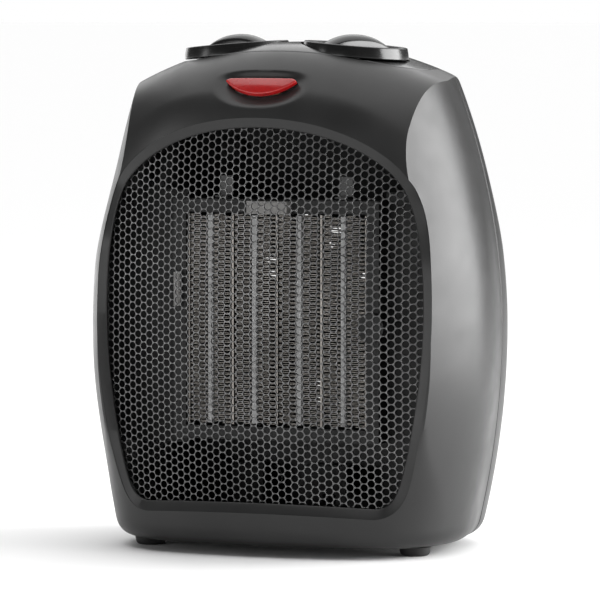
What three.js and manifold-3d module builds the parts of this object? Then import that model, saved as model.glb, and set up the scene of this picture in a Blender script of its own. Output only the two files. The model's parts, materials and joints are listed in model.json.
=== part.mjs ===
// A compact upright ceramic fan heater: a barrel-shaped plastic case in two shells, an arched front grille,
// a glossy top panel with two rotary knobs, and the heating element, fan and controls inside.
// Millimetres. +Z is up, the front faces -Y, and the origin is on the floor under the middle of the case.
import * as THREE from "three";
import { mergeVertices } from "three/addons/utils/BufferGeometryUtils.js";
import Module from "manifold-3d";

const wasm = await Module();
wasm.setup();

// ---------------------------------------------------------------- driving dimensions
const FOOT_HEIGHT = 4.5;
const BASE_Z = FOOT_HEIGHT;
const CROWN_Z = 238.6; // highest point of the case, between the knobs
const FRONT_Y = -71; // foremost point of the case
const REAR_Y = 68; // rearmost point of the case
const SEAM_Y = 15; // plane where the front and rear shells meet
const CORNER_Y = -54.8; // front edge of the side faces
const WAIST_Z = 104; // height where the case is widest
const SEAM_HALF_WIDTH = 94.6; // half width at the seam, at the waist
const WALL = 2.6;
const GAP = 0.3; // clearance between neighbouring pieces
const JOIN = 0.15; // half of the line between the shells
const BASE_EDGE_RADIUS = 8;

const GRILLE_FRONT_Y = -68.5; // foremost point of the grille surface
const GRILLE_RADIUS = 215; // plan radius of the grille surface
const GRILLE_THICKNESS = 1.2;
const GRILLE_MARGIN = 1.4; // how far the grille runs behind the edge of its opening
const GRILLE_PITCH = 24;
const GRILLE_WEB = 4;
const BEZEL_WIDTH = 4.6;

const KNOB_X = 29.9;
const KNOB_Y = -9;
const KNOB_TILT = THREE.MathUtils.degToRad(4.7); // each knob leans outwards
const KNOB_RIM_Z = 237.4; // height of the rim plane on the knob's axis
const KNOB_RIM_RADIUS = 24.4;
const KNOB_BASE_RADIUS = 25.3;
const KNOB_SKIRT = 5.5;
const KNOB_CLEARANCE = 0.7;
const POCKET_FLOOR = -KNOB_SKIRT - 0.8; // on a knob's axis, below its rim plane
const CUP_WALL = 1.8; // wall of the cup that each knob sits in
const CUP_FLOOR = 2;
const SHAFT_RADIUS = 3;

const ELEMENT_Y = -30; // middle of the heating element
const ELEMENT_DEPTH = 12;
const ELEMENT_WIDTH = 89.6;
const ELEMENT_HEIGHT = 100;
const ELEMENT_Z = 108.5; // middle height of the element and the fan
const FAN_Y = 4;
const FAN_RADIUS = 48;
const HUB_RADIUS = 15;
const MOTOR_RADIUS = 22;
const MOTOR_SHAFT_RADIUS = 1.6;

const PANEL_THICKNESS = 2.6;
const PANEL_FRONT_Y = -37.5;
const PANEL_REAR_Y = 40;
const PANEL_HALF_WIDTH = 64;

const LENS_Z = 218.6;
const LENS_Y = -56.5;
const LENS_TILT = THREE.MathUtils.degToRad(33); // the forehead leans back here
const LENS_HALF_WIDTH = 17.2;
const LENS_TOP = 3.6; // straight top edge, above the lens's own centre
const LENS_DROP = 8.4;

const INTAKE_SLOTS = 9;
const INTAKE_PITCH = 10.5;
const INTAKE_HEIGHT = 5;
const INTAKE_WIDTH = 92;
const INTAKE_RADIUS = 54; // the slots shorten towards the top and bottom of this circle
const SCREW_RADIUS = 1.7;
const SCREW_HEAD_RADIUS = 3.4;
const SCREW_HEAD_HEIGHT = 1.8;
const SCREW_LENGTH = 13;
const BOSS_RADIUS = 5.4;
const GLAND_X = -40;
const GLAND_Z = 24;
const GLAND_RADIUS = 6;
const LEAD_RADIUS = 3.6; // bore for the mains lead
const TIP_X = 0;
const TIP_Y = 36;
const TIP_RADIUS = 4;
const TIP_STEM_RADIUS = 1.6;
const TIP_TRAVEL = 5;

const FOOT_RADIUS = 7.5;
const SCREWS = [
  ["case_screw_upper_right", 52, 186],
  ["case_screw_upper_left", -52, 186],
  ["case_screw_lower_right", 62, 30],
  ["case_screw_lower_left", -62, 30],
];
const KNOBS = [
  ["thermostat", -1, THREE.MathUtils.degToRad(-20), 24],
  ["mode", 1, THREE.MathUtils.degToRad(58), 26],
];
const FEET = [
  ["foot_front_right", 66.5, -29],
  ["foot_front_left", -66.5, -29],
  ["foot_rear_right", 50, 38],
  ["foot_rear_left", -50, 38],
];

// ---------------------------------------------------------------- materials
function plastic(color, roughness) {
  return new THREE.MeshStandardMaterial({ color, roughness, metalness: 0 });
}
function metal(color, roughness) {
  return new THREE.MeshStandardMaterial({ color, roughness, metalness: 1 });
}
const CHARCOAL = () => plastic(0x2e2d2f, 0.42);
const GLOSS_BLACK = () => plastic(0x0c0c0d, 0.12);
const DARK_PLASTIC = () => plastic(0x1c1c1d, 0.6);
const PALE_PLASTIC = () => plastic(0xd8d4c8, 0.55);
const LENS_RED = () => plastic(0xc51d1c, 0.25);
const GRILLE_STEEL = () => metal(0x6f6e70, 0.5);
const ALUMINIUM = () => metal(0xb7b3b0, 0.4);
const STEEL = () => metal(0x9a9a9c, 0.35);
const CERAMIC = () => plastic(0xcfcac4, 0.7);
const RUBBER = () => plastic(0x151515, 0.9);

// ---------------------------------------------------------------- solids
function solid(geometry) {
  const bare = geometry.clone();
  bare.deleteAttribute("normal");
  bare.deleteAttribute("uv");
  const merged = mergeVertices(bare, 1e-4);
  const { array } = merged.attributes.position;
  const corners = merged.index.array;
  const triangles = [];
  for (let i = 0; i < corners.length; i += 3) {
    const [a, b, c] = [corners[i], corners[i + 1], corners[i + 2]];
    if (a !== b && b !== c && c !== a) triangles.push(a, b, c);
  }
  const made = (list) => {
    const triVerts = new Uint32Array(list);
    return new wasm.Manifold(new wasm.Mesh({ numProp: 3, vertProperties: array, triVerts }));
  };
  const shape = made(triangles);
  return shape.volume() > 0 ? shape : made(triangles.reverse());
}

const root = new THREE.Group();

function addNode(name, shape, material) {
  const { vertProperties, triVerts } = shape.getMesh();
  const geometry = new THREE.BufferGeometry();
  geometry.setAttribute("position", new THREE.BufferAttribute(new Float32Array(vertProperties), 3));
  geometry.setIndex(new THREE.BufferAttribute(new Uint32Array(triVerts), 1));
  geometry.computeVertexNormals();
  const mesh = new THREE.Mesh(geometry, material);
  mesh.name = name;
  root.add(mesh);
  return mesh;
}

function box(width, depth, height, x, y, z) {
  return solid(new THREE.BoxGeometry(width, depth, height).translate(x, y, z));
}

function cylinderZ(radius, height, x, y, z, segments = 24, topRadius = radius) {
  const shape = new THREE.CylinderGeometry(topRadius, radius, height, segments).rotateX(Math.PI / 2);
  return solid(shape.translate(x, y, z));
}

function cylinderY(radius, depth, x, y, z, segments = 24) {
  return solid(new THREE.CylinderGeometry(radius, radius, depth, segments).translate(x, y, z));
}

// A closed skin over a stack of rings that all have the same number of points, with a fan on each end.
function loft(rings) {
  const count = rings[0].length;
  const positions = rings.flat().flatMap((p) => [p.x, p.y, p.z]);
  const middle = (ring) => {
    const sum = ring.reduce((total, p) => total.add(p), new THREE.Vector3());
    return sum.divideScalar(count);
  };
  const ends = [middle(rings[0]), middle(rings[rings.length - 1])];
  ends.forEach((p) => positions.push(p.x, p.y, p.z));
  const first = rings.length * count;
  const index = [];
  for (let r = 0; r < rings.length - 1; r++) {
    for (let i = 0; i < count; i++) {
      const next = (i + 1) % count;
      const [a, b] = [r * count + i, r * count + next];
      const [c, d] = [a + count, b + count];
      index.push(a, b, d, a, d, c);
    }
  }
  const last = (rings.length - 1) * count;
  for (let i = 0; i < count; i++) {
    const next = (i + 1) % count;
    index.push(first, next, i, first + 1, last + i, last + next);
  }
  const geometry = new THREE.BufferGeometry();
  geometry.setAttribute("position", new THREE.Float32BufferAttribute(positions, 3));
  geometry.setIndex(index);
  return solid(geometry);
}

// ---------------------------------------------------------------- form of the case
const smooth = (from, to, value) => THREE.MathUtils.smoothstep(value, from, to);
const range = (count) => Array.from({ length: count + 1 }, (_, i) => i / count);

// Half width of the case at the seam: widest at the waist, narrower above and below it.
function seamHalfWidth(z) {
  const taper = z > WAIST_Z ? 0.0017 : 0.0013;
  return SEAM_HALF_WIDTH - taper * (z - WAIST_Z) ** 2;
}

// The front bulges gently in side view as well.
function frontLean(z) {
  return (z > 100 ? 0.0006 : 0.0008) * (z - 100) ** 2;
}

// Half width of the front face, where the side faces begin.
function cornerHalfWidth(z) {
  const share = 0.877 - 0.052 * smooth(130, 186, z) - 0.028 * (1 - smooth(30, 90, z));
  return share * seamHalfWidth(z);
}

// Height of the forehead and the top over a point in plan.
function crownHeight(x, y) {
  const across = 12.5 * (x / 62) ** 2;
  const ahead = Math.max(0, -(y + 5)) / 31;
  const behind = Math.max(0, y + 5) / 42;
  const forehead = 3.8 * ahead ** 3.25 * (1 + 1.15 * (x / 69) ** 4);
  return CROWN_Z - across - forehead - 3.8 * behind ** 3.25;
}

// Depth of the middle of the rear wall.
function rearReach(z) {
  return REAR_Y - 0.0008 * (z - 90) ** 2;
}

// Power that makes the rear of the outline squarer than an ellipse; it grows rounder above the fan.
function rearPower(z) {
  return 0.54 + 0.3 * smooth(140, 180, z);
}

// The outline from the front corner to the seam: it leaves at an angle and reaches the seam turning inwards.
function sideCurve(corner, seam) {
  const leave = THREE.MathUtils.degToRad(33);
  const arrive = THREE.MathUtils.degToRad(5);
  const leaveReach = 43;
  const arriveReach = 20;
  return new THREE.CubicBezierCurve(
    corner,
    new THREE.Vector2(corner.x + leaveReach * Math.sin(leave), corner.y + leaveReach * Math.cos(leave)),
    new THREE.Vector2(seam.x + arriveReach * Math.sin(arrive), seam.y - arriveReach * Math.cos(arrive)),
    seam,
  );
}

// Right half of the outline at height z, from the middle of the front to the middle of the rear.
function halfOutline(z, inset) {
  const toBase = Math.max(0, BASE_Z + BASE_EDGE_RADIUS - z);
  const rolled = Math.min(toBase, BASE_EDGE_RADIUS - 0.5);
  const trim = inset + BASE_EDGE_RADIUS - Math.sqrt(BASE_EDGE_RADIUS ** 2 - rolled ** 2);
  const seam = new THREE.Vector2(seamHalfWidth(z) - trim, SEAM_Y);
  const corner = new THREE.Vector2(cornerHalfWidth(z) - trim * 0.8, CORNER_Y + trim * 0.7);
  const front = FRONT_Y + frontLean(z) + trim;
  const rear = rearReach(z) - trim;
  const points = [];
  for (const t of range(5)) {
    points.push(new THREE.Vector2(corner.x * t, front + (corner.y - front) * t * t));
  }
  sideCurve(corner, seam).getPoints(6).slice(1).forEach((p) => points.push(p));
  for (const t of range(6).slice(1)) {
    const angle = (t * Math.PI) / 2;
    const x = t === 1 ? 0 : seam.x * Math.cos(angle) ** rearPower(z);
    points.push(new THREE.Vector2(x, SEAM_Y + (rear - SEAM_Y) * Math.sin(angle)));
  }
  return points;
}

// Depth of the rear wall's outer face at a place on it.
function rearWallY(x, z) {
  const cosine = (Math.abs(x) / seamHalfWidth(z)) ** (1 / rearPower(z));
  return SEAM_Y + (rearReach(z) - SEAM_Y) * Math.sqrt(1 - cosine ** 2);
}

function outlineRing(z, inset) {
  const half = halfOutline(z, inset);
  const left = half.slice(1, -1).reverse().map((p) => new THREE.Vector2(-p.x, p.y));
  return [...half, ...left].map((p) => new THREE.Vector3(p.x, p.y, z));
}

const LEVELS = [BASE_Z, 7, 12.5, 34, 62, WAIST_Z, 134, 158, 178, 198, 218, 244];

// The full form of the case, drawn in by the given inset.
function caseForm(inset, floor) {
  const levels = [floor, ...LEVELS.filter((z) => z > floor + 1)];
  const barrel = loft(levels.map((z) => outlineRing(z, inset)));
  return barrel.intersect(crown(inset));
}

// Everything below the forehead and the top, as a block wider than the case.
function crown(inset) {
  const reach = 110;
  const half = SEAM_HALF_WIDTH + 4.4;
  const rows = [-80, -69, -64, -59, -53, -46, -37, -24, -5, 20, 38, 54, 75];
  const rings = rows.map((y) => {
    const top = range(12).map((t) => {
      const x = half - 2 * half * t;
      const outwards = y < -5 ? y - inset : Math.min(y + inset, 74);
      const height = Math.max(-20, crownHeight(x, outwards)) - inset;
      return new THREE.Vector3(x, y, height);
    });
    return [new THREE.Vector3(-half, y, -reach), new THREE.Vector3(half, y, -reach), ...top].reverse();
  });
  return loft(rings);
}

function halfSpace(fromY, toY) {
  return box(260, toY - fromY, 400, 0, (fromY + toY) / 2, 120);
}

// ---------------------------------------------------------------- front opening and grille
// Right half of the opening, from the middle of its sill up to the top of its arch, in the X-Z plane.
function openingHalf() {
  const path = new THREE.Path();
  path.moveTo(0, 25.4);
  path.lineTo(56, 23.8);
  path.bezierCurveTo(64, 23.8, 66.5, 31, 68.8, 39);
  path.bezierCurveTo(73, 55, 78.6, 85, 78.6, 112);
  path.bezierCurveTo(78.6, 140, 76, 158, 69.8, 170.3);
  path.bezierCurveTo(62, 184, 38, 199.2, 0, 199.2);
  return path;
}

// The closed outline of the opening, moved outwards by the given distance.
function openingOutline(offset, steps = 5) {
  const path = openingHalf();
  const half = path.curves.flatMap((curve, i) => {
    const count = i === 0 ? 2 : steps;
    return range(count).slice(i === 0 ? 0 : 1).map((t) => {
      const point = curve.getPoint(t);
      const tangent = curve.getTangent(t);
      return new THREE.Vector2(point.x + tangent.y * offset, point.y - tangent.x * offset);
    });
  });
  half[0].x = 0;
  half[half.length - 1].x = 0;
  const left = half.slice(1, -1).reverse().map((p) => new THREE.Vector2(-p.x, p.y));
  return [...half, ...left];
}

function grilleY(x, z) {
  return GRILLE_FRONT_Y + frontLean(z) + GRILLE_RADIUS - Math.sqrt(GRILLE_RADIUS ** 2 - x * x);
}

// The cut for the grille: a bevel that narrows from the face of the shell to the grille.
function openingCut() {
  const wide = openingOutline(BEZEL_WIDTH);
  const narrow = openingOutline(0);
  const bevelDepth = 2.6;
  return loft([
    wide.map((p) => new THREE.Vector3(p.x, -95, p.y)),
    wide.map((p) => new THREE.Vector3(p.x, grilleY(p.x, p.y) - bevelDepth, p.y)),
    narrow.map((p) => new THREE.Vector3(p.x, grilleY(p.x, p.y), p.y)),
    narrow.map((p) => new THREE.Vector3(p.x, -30, p.y)),
  ]);
}

// The frame inside the front shell that carries the grille, flush behind the bevel.
function grilleSeat() {
  const outer = openingOutline(BEZEL_WIDTH + 3);
  const inner = openingOutline(0);
  const back = (p, depth) => new THREE.Vector3(p.x, grilleY(p.x, p.y) + depth, p.y);
  const block = loft([outer.map((p) => back(p, -6)), outer.map((p) => back(p, 0.6 - GAP))]);
  const hole = loft([inner.map((p) => back(p, -12)), inner.map((p) => back(p, 12))]);
  return block.subtract(hole);
}

// A ring on the grille surface: the outline drawn in towards its middle, set back by the given depth.
function grilleRing(outline, share, depth) {
  return outline.map((p) => {
    const x = p.x * share;
    const z = ELEMENT_Z + (p.y - ELEMENT_Z) * share;
    return new THREE.Vector3(x, grilleY(x, z) + depth, z);
  });
}

const GRILLE_SHARES = [1, 0.5, 0.1];

// The space that the grille sheet drops into, from behind.
function grillePocket() {
  const outline = openingOutline(GRILLE_MARGIN + GAP);
  const front = GRILLE_SHARES.map((share) => grilleRing(outline, share, GAP));
  return loft([outline.map((p) => new THREE.Vector3(p.x, -30, p.y)), ...front]);
}

function grilleSheet() {
  const outline = openingOutline(GRILLE_MARGIN);
  const front = GRILLE_SHARES.map((share) => grilleRing(outline, share, 2 * GAP));
  const back = GRILLE_SHARES.map((share) => grilleRing(outline, share, 2 * GAP + GRILLE_THICKNESS));
  return loft([...front.reverse(), ...back]);
}

// Whether a point lies within a closed outline, by counting the edges to its right.
function contains(border, x, z) {
  let within = false;
  border.forEach((a, i) => {
    const b = border[(i + 1) % border.length];
    const crosses = a.y > z !== b.y > z;
    if (crosses && x < ((b.x - a.x) * (z - a.y)) / (b.y - a.y) + a.x) within = !within;
  });
  return within;
}

function frontGrille() {
  const sheet = grilleSheet();
  const radius = (GRILLE_PITCH - GRILLE_WEB) / Math.sqrt(3);
  const border = openingOutline(-1.5, 12);
  const apart = (x, z) => border.every((p) => Math.hypot(p.x - x, p.y - z) > radius);
  const holes = [];
  for (let column = -3; column <= 3; column++) {
    for (let row = -4; row <= 4; row++) {
      const x = column * GRILLE_PITCH * 0.866;
      const z = ELEMENT_Z + (row + (column % 2 ? 0.5 : 0)) * GRILLE_PITCH;
      if (contains(border, x, z) && apart(x, z)) {
        const hole = new THREE.CylinderGeometry(radius, radius, 60, 6).rotateY(Math.PI / 6);
        holes.push(solid(hole.translate(x, -50, z)));
      }
    }
  }
  return sheet.subtract(wasm.Manifold.union(holes));
}

// ---------------------------------------------------------------- case
// Plan outline of the top panel: a bowed front edge, long sides and a straight rear edge.
function panelOutline(offset) {
  const half = PANEL_HALF_WIDTH + offset;
  const front = PANEL_FRONT_Y - offset;
  const rear = PANEL_REAR_Y + offset;
  const shape = new THREE.Shape();
  shape.moveTo(0, front);
  shape.bezierCurveTo(26, front, 44, front + 4, 56, front + 12);
  shape.bezierCurveTo(half - 3, front + 17, half, front + 24, half, front + 34);
  shape.lineTo(half - 3, rear - 8);
  shape.quadraticCurveTo(half - 4, rear, half - 14, rear);
  shape.lineTo(14 - half, rear);
  shape.quadraticCurveTo(4 - half, rear, 3 - half, rear - 8);
  shape.lineTo(-half, front + 34);
  shape.bezierCurveTo(-half, front + 24, 3 - half, front + 17, -56, front + 12);
  shape.bezierCurveTo(-44, front + 4, -26, front, 0, front);
  return shape;
}

function prism(shape, from, to, curveSegments = 5) {
  const extruded = new THREE.ExtrudeGeometry(shape, { depth: to - from, bevelEnabled: false, curveSegments });
  return solid(extruded.translate(0, 0, from));
}

const outer = caseForm(0, BASE_Z);
const hollow = caseForm(WALL, BASE_Z + WALL);
const panelWell = prism(panelOutline(0), 150, 300);
const underPanel = caseForm(PANEL_THICKNESS, BASE_Z);

// Places a shape built around a knob's own axis, with its rim plane at height zero.
function onKnobAxis(shape, side) {
  const turn = new THREE.Matrix4().makeRotationY(side * KNOB_TILT);
  const place = new THREE.Matrix4().makeTranslation(side * KNOB_X, KNOB_Y, KNOB_RIM_Z);
  return shape.transform(place.multiply(turn).elements);
}

function knobPocket(side) {
  const radius = KNOB_BASE_RADIUS + KNOB_CLEARANCE;
  const well = cylinderZ(radius, 20, 0, 0, POCKET_FLOOR + 10, 32);
  const bore = cylinderZ(SHAFT_RADIUS + 1.2, 30, 0, 0, POCKET_FLOOR, 20);
  return onKnobAxis(well.add(bore), side);
}

function knobPocketCup(side) {
  const radius = KNOB_BASE_RADIUS + KNOB_CLEARANCE + CUP_WALL;
  const height = 12;
  return onKnobAxis(cylinderZ(radius, height, 0, 0, POCKET_FLOOR - CUP_FLOOR + height / 2, 32), side);
}

function topPanel() {
  const edge = prism(panelOutline(-GAP), 150, 300);
  const plate = outer.intersect(edge).subtract(underPanel);
  const cups = knobPocketCup(-1).add(knobPocketCup(1)).intersect(outer);
  const fitted = cups.intersect(prism(panelOutline(-5), 150, 300));
  return plate.add(fitted).subtract(knobPocket(-1)).subtract(knobPocket(1));
}

// Half-moon: a straight top edge and a bowed bottom edge, in a plane that leans with the forehead.
function lensShape(offset) {
  const half = LENS_HALF_WIDTH + offset;
  const shape = new THREE.Shape();
  shape.moveTo(-half + 2, LENS_TOP + offset);
  shape.lineTo(half - 2, LENS_TOP + offset);
  shape.quadraticCurveTo(half + 1, 2.4, half - 3.4, -0.8);
  shape.quadraticCurveTo(7, 3.2 - LENS_DROP - offset, 0, 3.4 - LENS_DROP - offset);
  shape.quadraticCurveTo(-7, 3.2 - LENS_DROP - offset, 3.4 - half, -0.8);
  shape.quadraticCurveTo(-half - 1, 2.4, -half + 2, LENS_TOP + offset);
  return shape;
}

function onForehead(shape) {
  const turn = new THREE.Matrix4().makeRotationX(Math.PI / 2 - LENS_TILT);
  const place = new THREE.Matrix4().makeTranslation(0, LENS_Y, LENS_Z);
  return shape.transform(place.multiply(turn).elements);
}

// The soft dish pressed into the forehead round the pilot lens.
function lensDish() {
  const bowl = new THREE.SphereGeometry(60, 48, 24);
  const shaped = solid(bowl.scale(0.42, 0.22, 0.16).translate(0, -0.6, 9.2));
  return onForehead(shaped);
}

function frontShell() {
  const half = halfSpace(-200, SEAM_Y - JOIN);
  const skin = outer.subtract(hollow);
  return skin
    .add(grilleSeat().intersect(outer))
    .subtract(openingCut())
    .subtract(grillePocket())
    .subtract(panelWell)
    .subtract(lensDish())
    .subtract(onForehead(prism(lensShape(GAP), -14, 14)))
    .intersect(half);
}

function rearShell() {
  const half = halfSpace(SEAM_Y + JOIN, 200);
  const bosses = SCREWS.map(([, x, z]) => cylinderY(BOSS_RADIUS, 16, x, rearWallY(x, z) - 7.5, z, 16));
  const walls = outer.subtract(hollow).subtract(panelWell);
  const shell = wasm.Manifold.union([walls, ...bosses]).intersect(outer).intersect(half);
  const slots = [];
  for (let i = 0; i < INTAKE_SLOTS; i++) {
    const z = ELEMENT_Z + (i - (INTAKE_SLOTS - 1) / 2) * INTAKE_PITCH;
    const reach = Math.sqrt(1 - ((z - ELEMENT_Z) / INTAKE_RADIUS) ** 2);
    slots.push(box(INTAKE_WIDTH * reach, 40, INTAKE_HEIGHT, 0, 65, z));
  }
  for (const [, x, z] of SCREWS) {
    const wall = rearWallY(x, z);
    slots.push(cylinderY(SCREW_RADIUS + GAP, 60, x, wall - 10, z, 12));
    slots.push(cylinderY(SCREW_HEAD_RADIUS + GAP, 20, x, wall + 8 - GAP, z, 16));
  }
  slots.push(cylinderY(GLAND_RADIUS + GAP, 60, GLAND_X, REAR_Y - 8, GLAND_Z, 20));
  slots.push(cylinderZ(TIP_RADIUS + GAP, 20, TIP_X, TIP_Y, BASE_Z, 20));
  return shell.subtract(wasm.Manifold.union(slots));
}
// ---------------------------------------------------------------- controls
// A knob: a skirt that widens downwards, a rim round a shallow recess, and an arched grip across it.
function knob(gripTurn) {
  const skirt = new THREE.LatheGeometry(
    [
      [0, -KNOB_SKIRT],
      [KNOB_BASE_RADIUS, -KNOB_SKIRT],
      [KNOB_BASE_RADIUS, -KNOB_SKIRT + 1],
      [KNOB_RIM_RADIUS, -0.6],
      [KNOB_RIM_RADIUS - 0.6, 0],
      [KNOB_RIM_RADIUS - 1.8, 0],
      [KNOB_RIM_RADIUS - 2.8, -1.2],
      [0, -1.2],
    ].map(([x, y]) => new THREE.Vector2(x, y)),
    28,
  ).rotateX(Math.PI / 2);
  const grip = new THREE.Shape();
  grip.moveTo(-19, -2);
  grip.quadraticCurveTo(-12, 4.6, 0, 4.6);
  grip.quadraticCurveTo(12, 4.6, 19, -2);
  const bar = new THREE.ExtrudeGeometry(grip, { depth: 9, bevelEnabled: false, curveSegments: 6 });
  const standing = bar.translate(0, 0, -4.5).rotateX(Math.PI / 2).rotateZ(gripTurn);
  const socket = cylinderZ(SHAFT_RADIUS + GAP, 8, 0, 0, -KNOB_SKIRT + 1, 16);
  return solid(skirt).add(solid(standing)).subtract(socket);
}

const CONTROL_TOP = POCKET_FLOOR - CUP_FLOOR - GAP; // top of the switch bodies, on a knob's axis
const CONTROL_DEPTH = 16;

function addControl(name, side, gripTurn, size) {
  addNode(name + "_knob", onKnobAxis(knob(gripTurn), side), GLOSS_BLACK());
  const shaftTop = -KNOB_SKIRT + 4.6;
  const shaftFoot = CONTROL_TOP + GAP;
  const shaft = cylinderZ(SHAFT_RADIUS, shaftTop - shaftFoot, 0, 0, (shaftTop + shaftFoot) / 2, 16);
  addNode(name + "_shaft", onKnobAxis(shaft, side), STEEL());
  const body = box(size, size, CONTROL_DEPTH, 0, 0, CONTROL_TOP - CONTROL_DEPTH / 2);
  addNode(name + "_body", onKnobAxis(body, side), DARK_PLASTIC());
}

function addPilotLight() {
  const lens = onForehead(prism(lensShape(0), -1.6, 0.6));
  addNode("pilot_lens", lens, LENS_RED());
  const holder = onForehead(box(30, 12, 4, 0, 0, -9).subtract(box(22, 5, 3, 0, 0, -7.6)));
  addNode("pilot_lamp_holder", holder, PALE_PLASTIC());
  const bulb = new THREE.CapsuleGeometry(1.9, 14, 3, 10).rotateZ(Math.PI / 2).translate(0, 0, -5);
  addNode("pilot_lamp", onForehead(solid(bulb)), plastic(0xf0c8a8, 0.1));
}

// A plunger that the floor holds up: a flange keeps it in the base, and a spring pushes it down.
function addTipSwitch() {
  const bottom = 0.15;
  const flangeZ = BASE_Z + WALL + TIP_TRAVEL + GAP;
  const flange = 1.2;
  const springLength = 6;
  const button = cylinderZ(TIP_RADIUS, flangeZ - bottom, TIP_X, TIP_Y, (flangeZ + bottom) / 2, 20);
  const rim = cylinderZ(TIP_RADIUS + 2, flange, TIP_X, TIP_Y, flangeZ + flange / 2, 20);
  const stemLength = springLength + 5;
  const stemZ = flangeZ + (flange + stemLength) / 2;
  const stem = cylinderZ(TIP_STEM_RADIUS, stemLength, TIP_X, TIP_Y, stemZ, 12);
  addNode("tip_switch_plunger", wasm.Manifold.union([button, rim, stem]), DARK_PLASTIC());
  const springZ = flangeZ + flange + GAP;
  const bore = TIP_STEM_RADIUS + 2 * GAP;
  const outside = cylinderZ(bore + 1.1, springLength, TIP_X, TIP_Y, springZ + springLength / 2, 16);
  const inside = cylinderZ(bore, springLength + 2, TIP_X, TIP_Y, springZ + springLength / 2, 16);
  addNode("tip_switch_spring", outside.subtract(inside), STEEL());
  const bodyZ = springZ + springLength + GAP;
  const body = box(22, 14, 14, TIP_X, TIP_Y, bodyZ + 7);
  const well = cylinderZ(bore, 12, TIP_X, TIP_Y, bodyZ + 4, 12);
  addNode("tip_switch_body", body.subtract(well), DARK_PLASTIC());
}

// ---------------------------------------------------------------- heating element
function addElement() {
  const top = ELEMENT_Z + ELEMENT_HEIGHT / 2;
  const ring = (grow, depth) =>
    box(ELEMENT_WIDTH + grow, depth, ELEMENT_HEIGHT + grow, 0, ELEMENT_Y, ELEMENT_Z);
  const frame = ring(13, ELEMENT_DEPTH + 2).subtract(ring(2 * GAP, ELEMENT_DEPTH + 6));
  addNode("element_frame", frame, DARK_PLASTIC());

  const strips = [
    "end_plate_left", "fin", "ceramic", "fin", "divider", "fin", "ceramic", "fin", "divider",
    "fin", "ceramic", "fin", "divider", "fin", "ceramic", "fin", "end_plate_right",
  ];
  const widths = { fin: 0, ceramic: 2.4, divider: 1, end_plate_left: 1, end_plate_right: 1 };
  const fixed = strips.reduce((sum, kind) => sum + widths[kind], 0) + (strips.length - 1) * GAP;
  const fins = strips.filter((kind) => kind === "fin").length;
  widths.fin = (ELEMENT_WIDTH - fixed) / fins;
  const counts = {};
  let x = -ELEMENT_WIDTH / 2;
  for (const kind of strips) {
    const width = widths[kind];
    counts[kind] = (counts[kind] || 0) + 1;
    const middle = x + width / 2;
    if (kind === "fin") {
      const stack = box(width, ELEMENT_DEPTH - 3, ELEMENT_HEIGHT - 1, middle, ELEMENT_Y, ELEMENT_Z);
      addNode("fin_stack_" + counts[kind], stack, ALUMINIUM());
    } else if (kind === "ceramic") {
      const bar = box(width, ELEMENT_DEPTH - 1, ELEMENT_HEIGHT - 2, middle, ELEMENT_Y, ELEMENT_Z);
      addNode("ceramic_bar_" + counts[kind], bar, CERAMIC());
    } else {
      const name = kind === "divider" ? "divider_strip_" + counts[kind] : kind;
      const strip = box(width, ELEMENT_DEPTH - 2, ELEMENT_HEIGHT - 1, middle, ELEMENT_Y, ELEMENT_Z);
      addNode(name, strip, ALUMINIUM());
    }
    x += width + GAP;
  }

  const front = ELEMENT_Y - ELEMENT_DEPTH / 2 - 1;
  addNode("element_connector", box(20, 6, 6, -2, front - 3.3, top + 3), PALE_PLASTIC());
  addNode("thermal_cutout", cylinderY(6.5, 5, 49, front - 2.8, ELEMENT_Z - 2, 20), DARK_PLASTIC());
  addNode("thermal_fuse", cylinderZ(1.8, 16, -48.5, front - 2.2, ELEMENT_Z + 14, 12), PALE_PLASTIC());
  for (const [name, side] of [["element_terminal_live", -1], ["element_terminal_neutral", 1]]) {
    const tab = box(6.3, 0.8, 14, side * 30, ELEMENT_Y + ELEMENT_DEPTH / 2 + 2, top + 10);
    const foot = box(6.3, 8, 0.8, side * 30, ELEMENT_Y + ELEMENT_DEPTH / 2 - 1.6, top + 7.4);
    addNode(name, tab.add(foot), STEEL());
  }
}

// ---------------------------------------------------------------- fan
const DUCT_BACK_Y = FAN_Y + 12;

// A funnel from the square element frame to the round fan, open right through,
// with a wing on each side that shuts off the way round it.
function airDuct() {
  const corners = 24;
  const ring = (size, roundness, y) => range(corners).slice(0, -1).map((t) => {
    const angle = t * 2 * Math.PI;
    const [c, s] = [Math.cos(angle), Math.sin(angle)];
    const square = 1 / Math.max(Math.abs(c), Math.abs(s));
    const reach = size * (roundness + (1 - roundness) * Math.min(square, 1.32));
    return new THREE.Vector3(reach * c, y, ELEMENT_Z + reach * s);
  });
  const start = ELEMENT_Y + ELEMENT_DEPTH / 2 + 1 + GAP;
  const wall = 1.8;
  const inner = FAN_RADIUS + 2;
  const throat = FAN_Y - 12;
  const mouth = ELEMENT_HEIGHT / 2;
  const outside = loft([
    ring(mouth + wall, 0, start),
    ring(inner + wall, 1, throat),
    ring(inner + wall, 1, DUCT_BACK_Y),
  ]);
  const bore = loft([
    ring(mouth, 0, start - 1),
    ring(inner, 1, throat),
    ring(inner, 1, DUCT_BACK_Y + 1),
  ]);
  const thickness = 1.6;
  const across = box(200, thickness, 120, 0, start + thickness / 2, ELEMENT_Z);
  const gap = box(2 * mouth, 2 * thickness, 140, 0, start + thickness / 2, ELEMENT_Z);
  const wings = across.subtract(gap).intersect(caseForm(WALL + GAP, BASE_Z + WALL + GAP));
  return outside.add(wings).subtract(bore);
}

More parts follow.
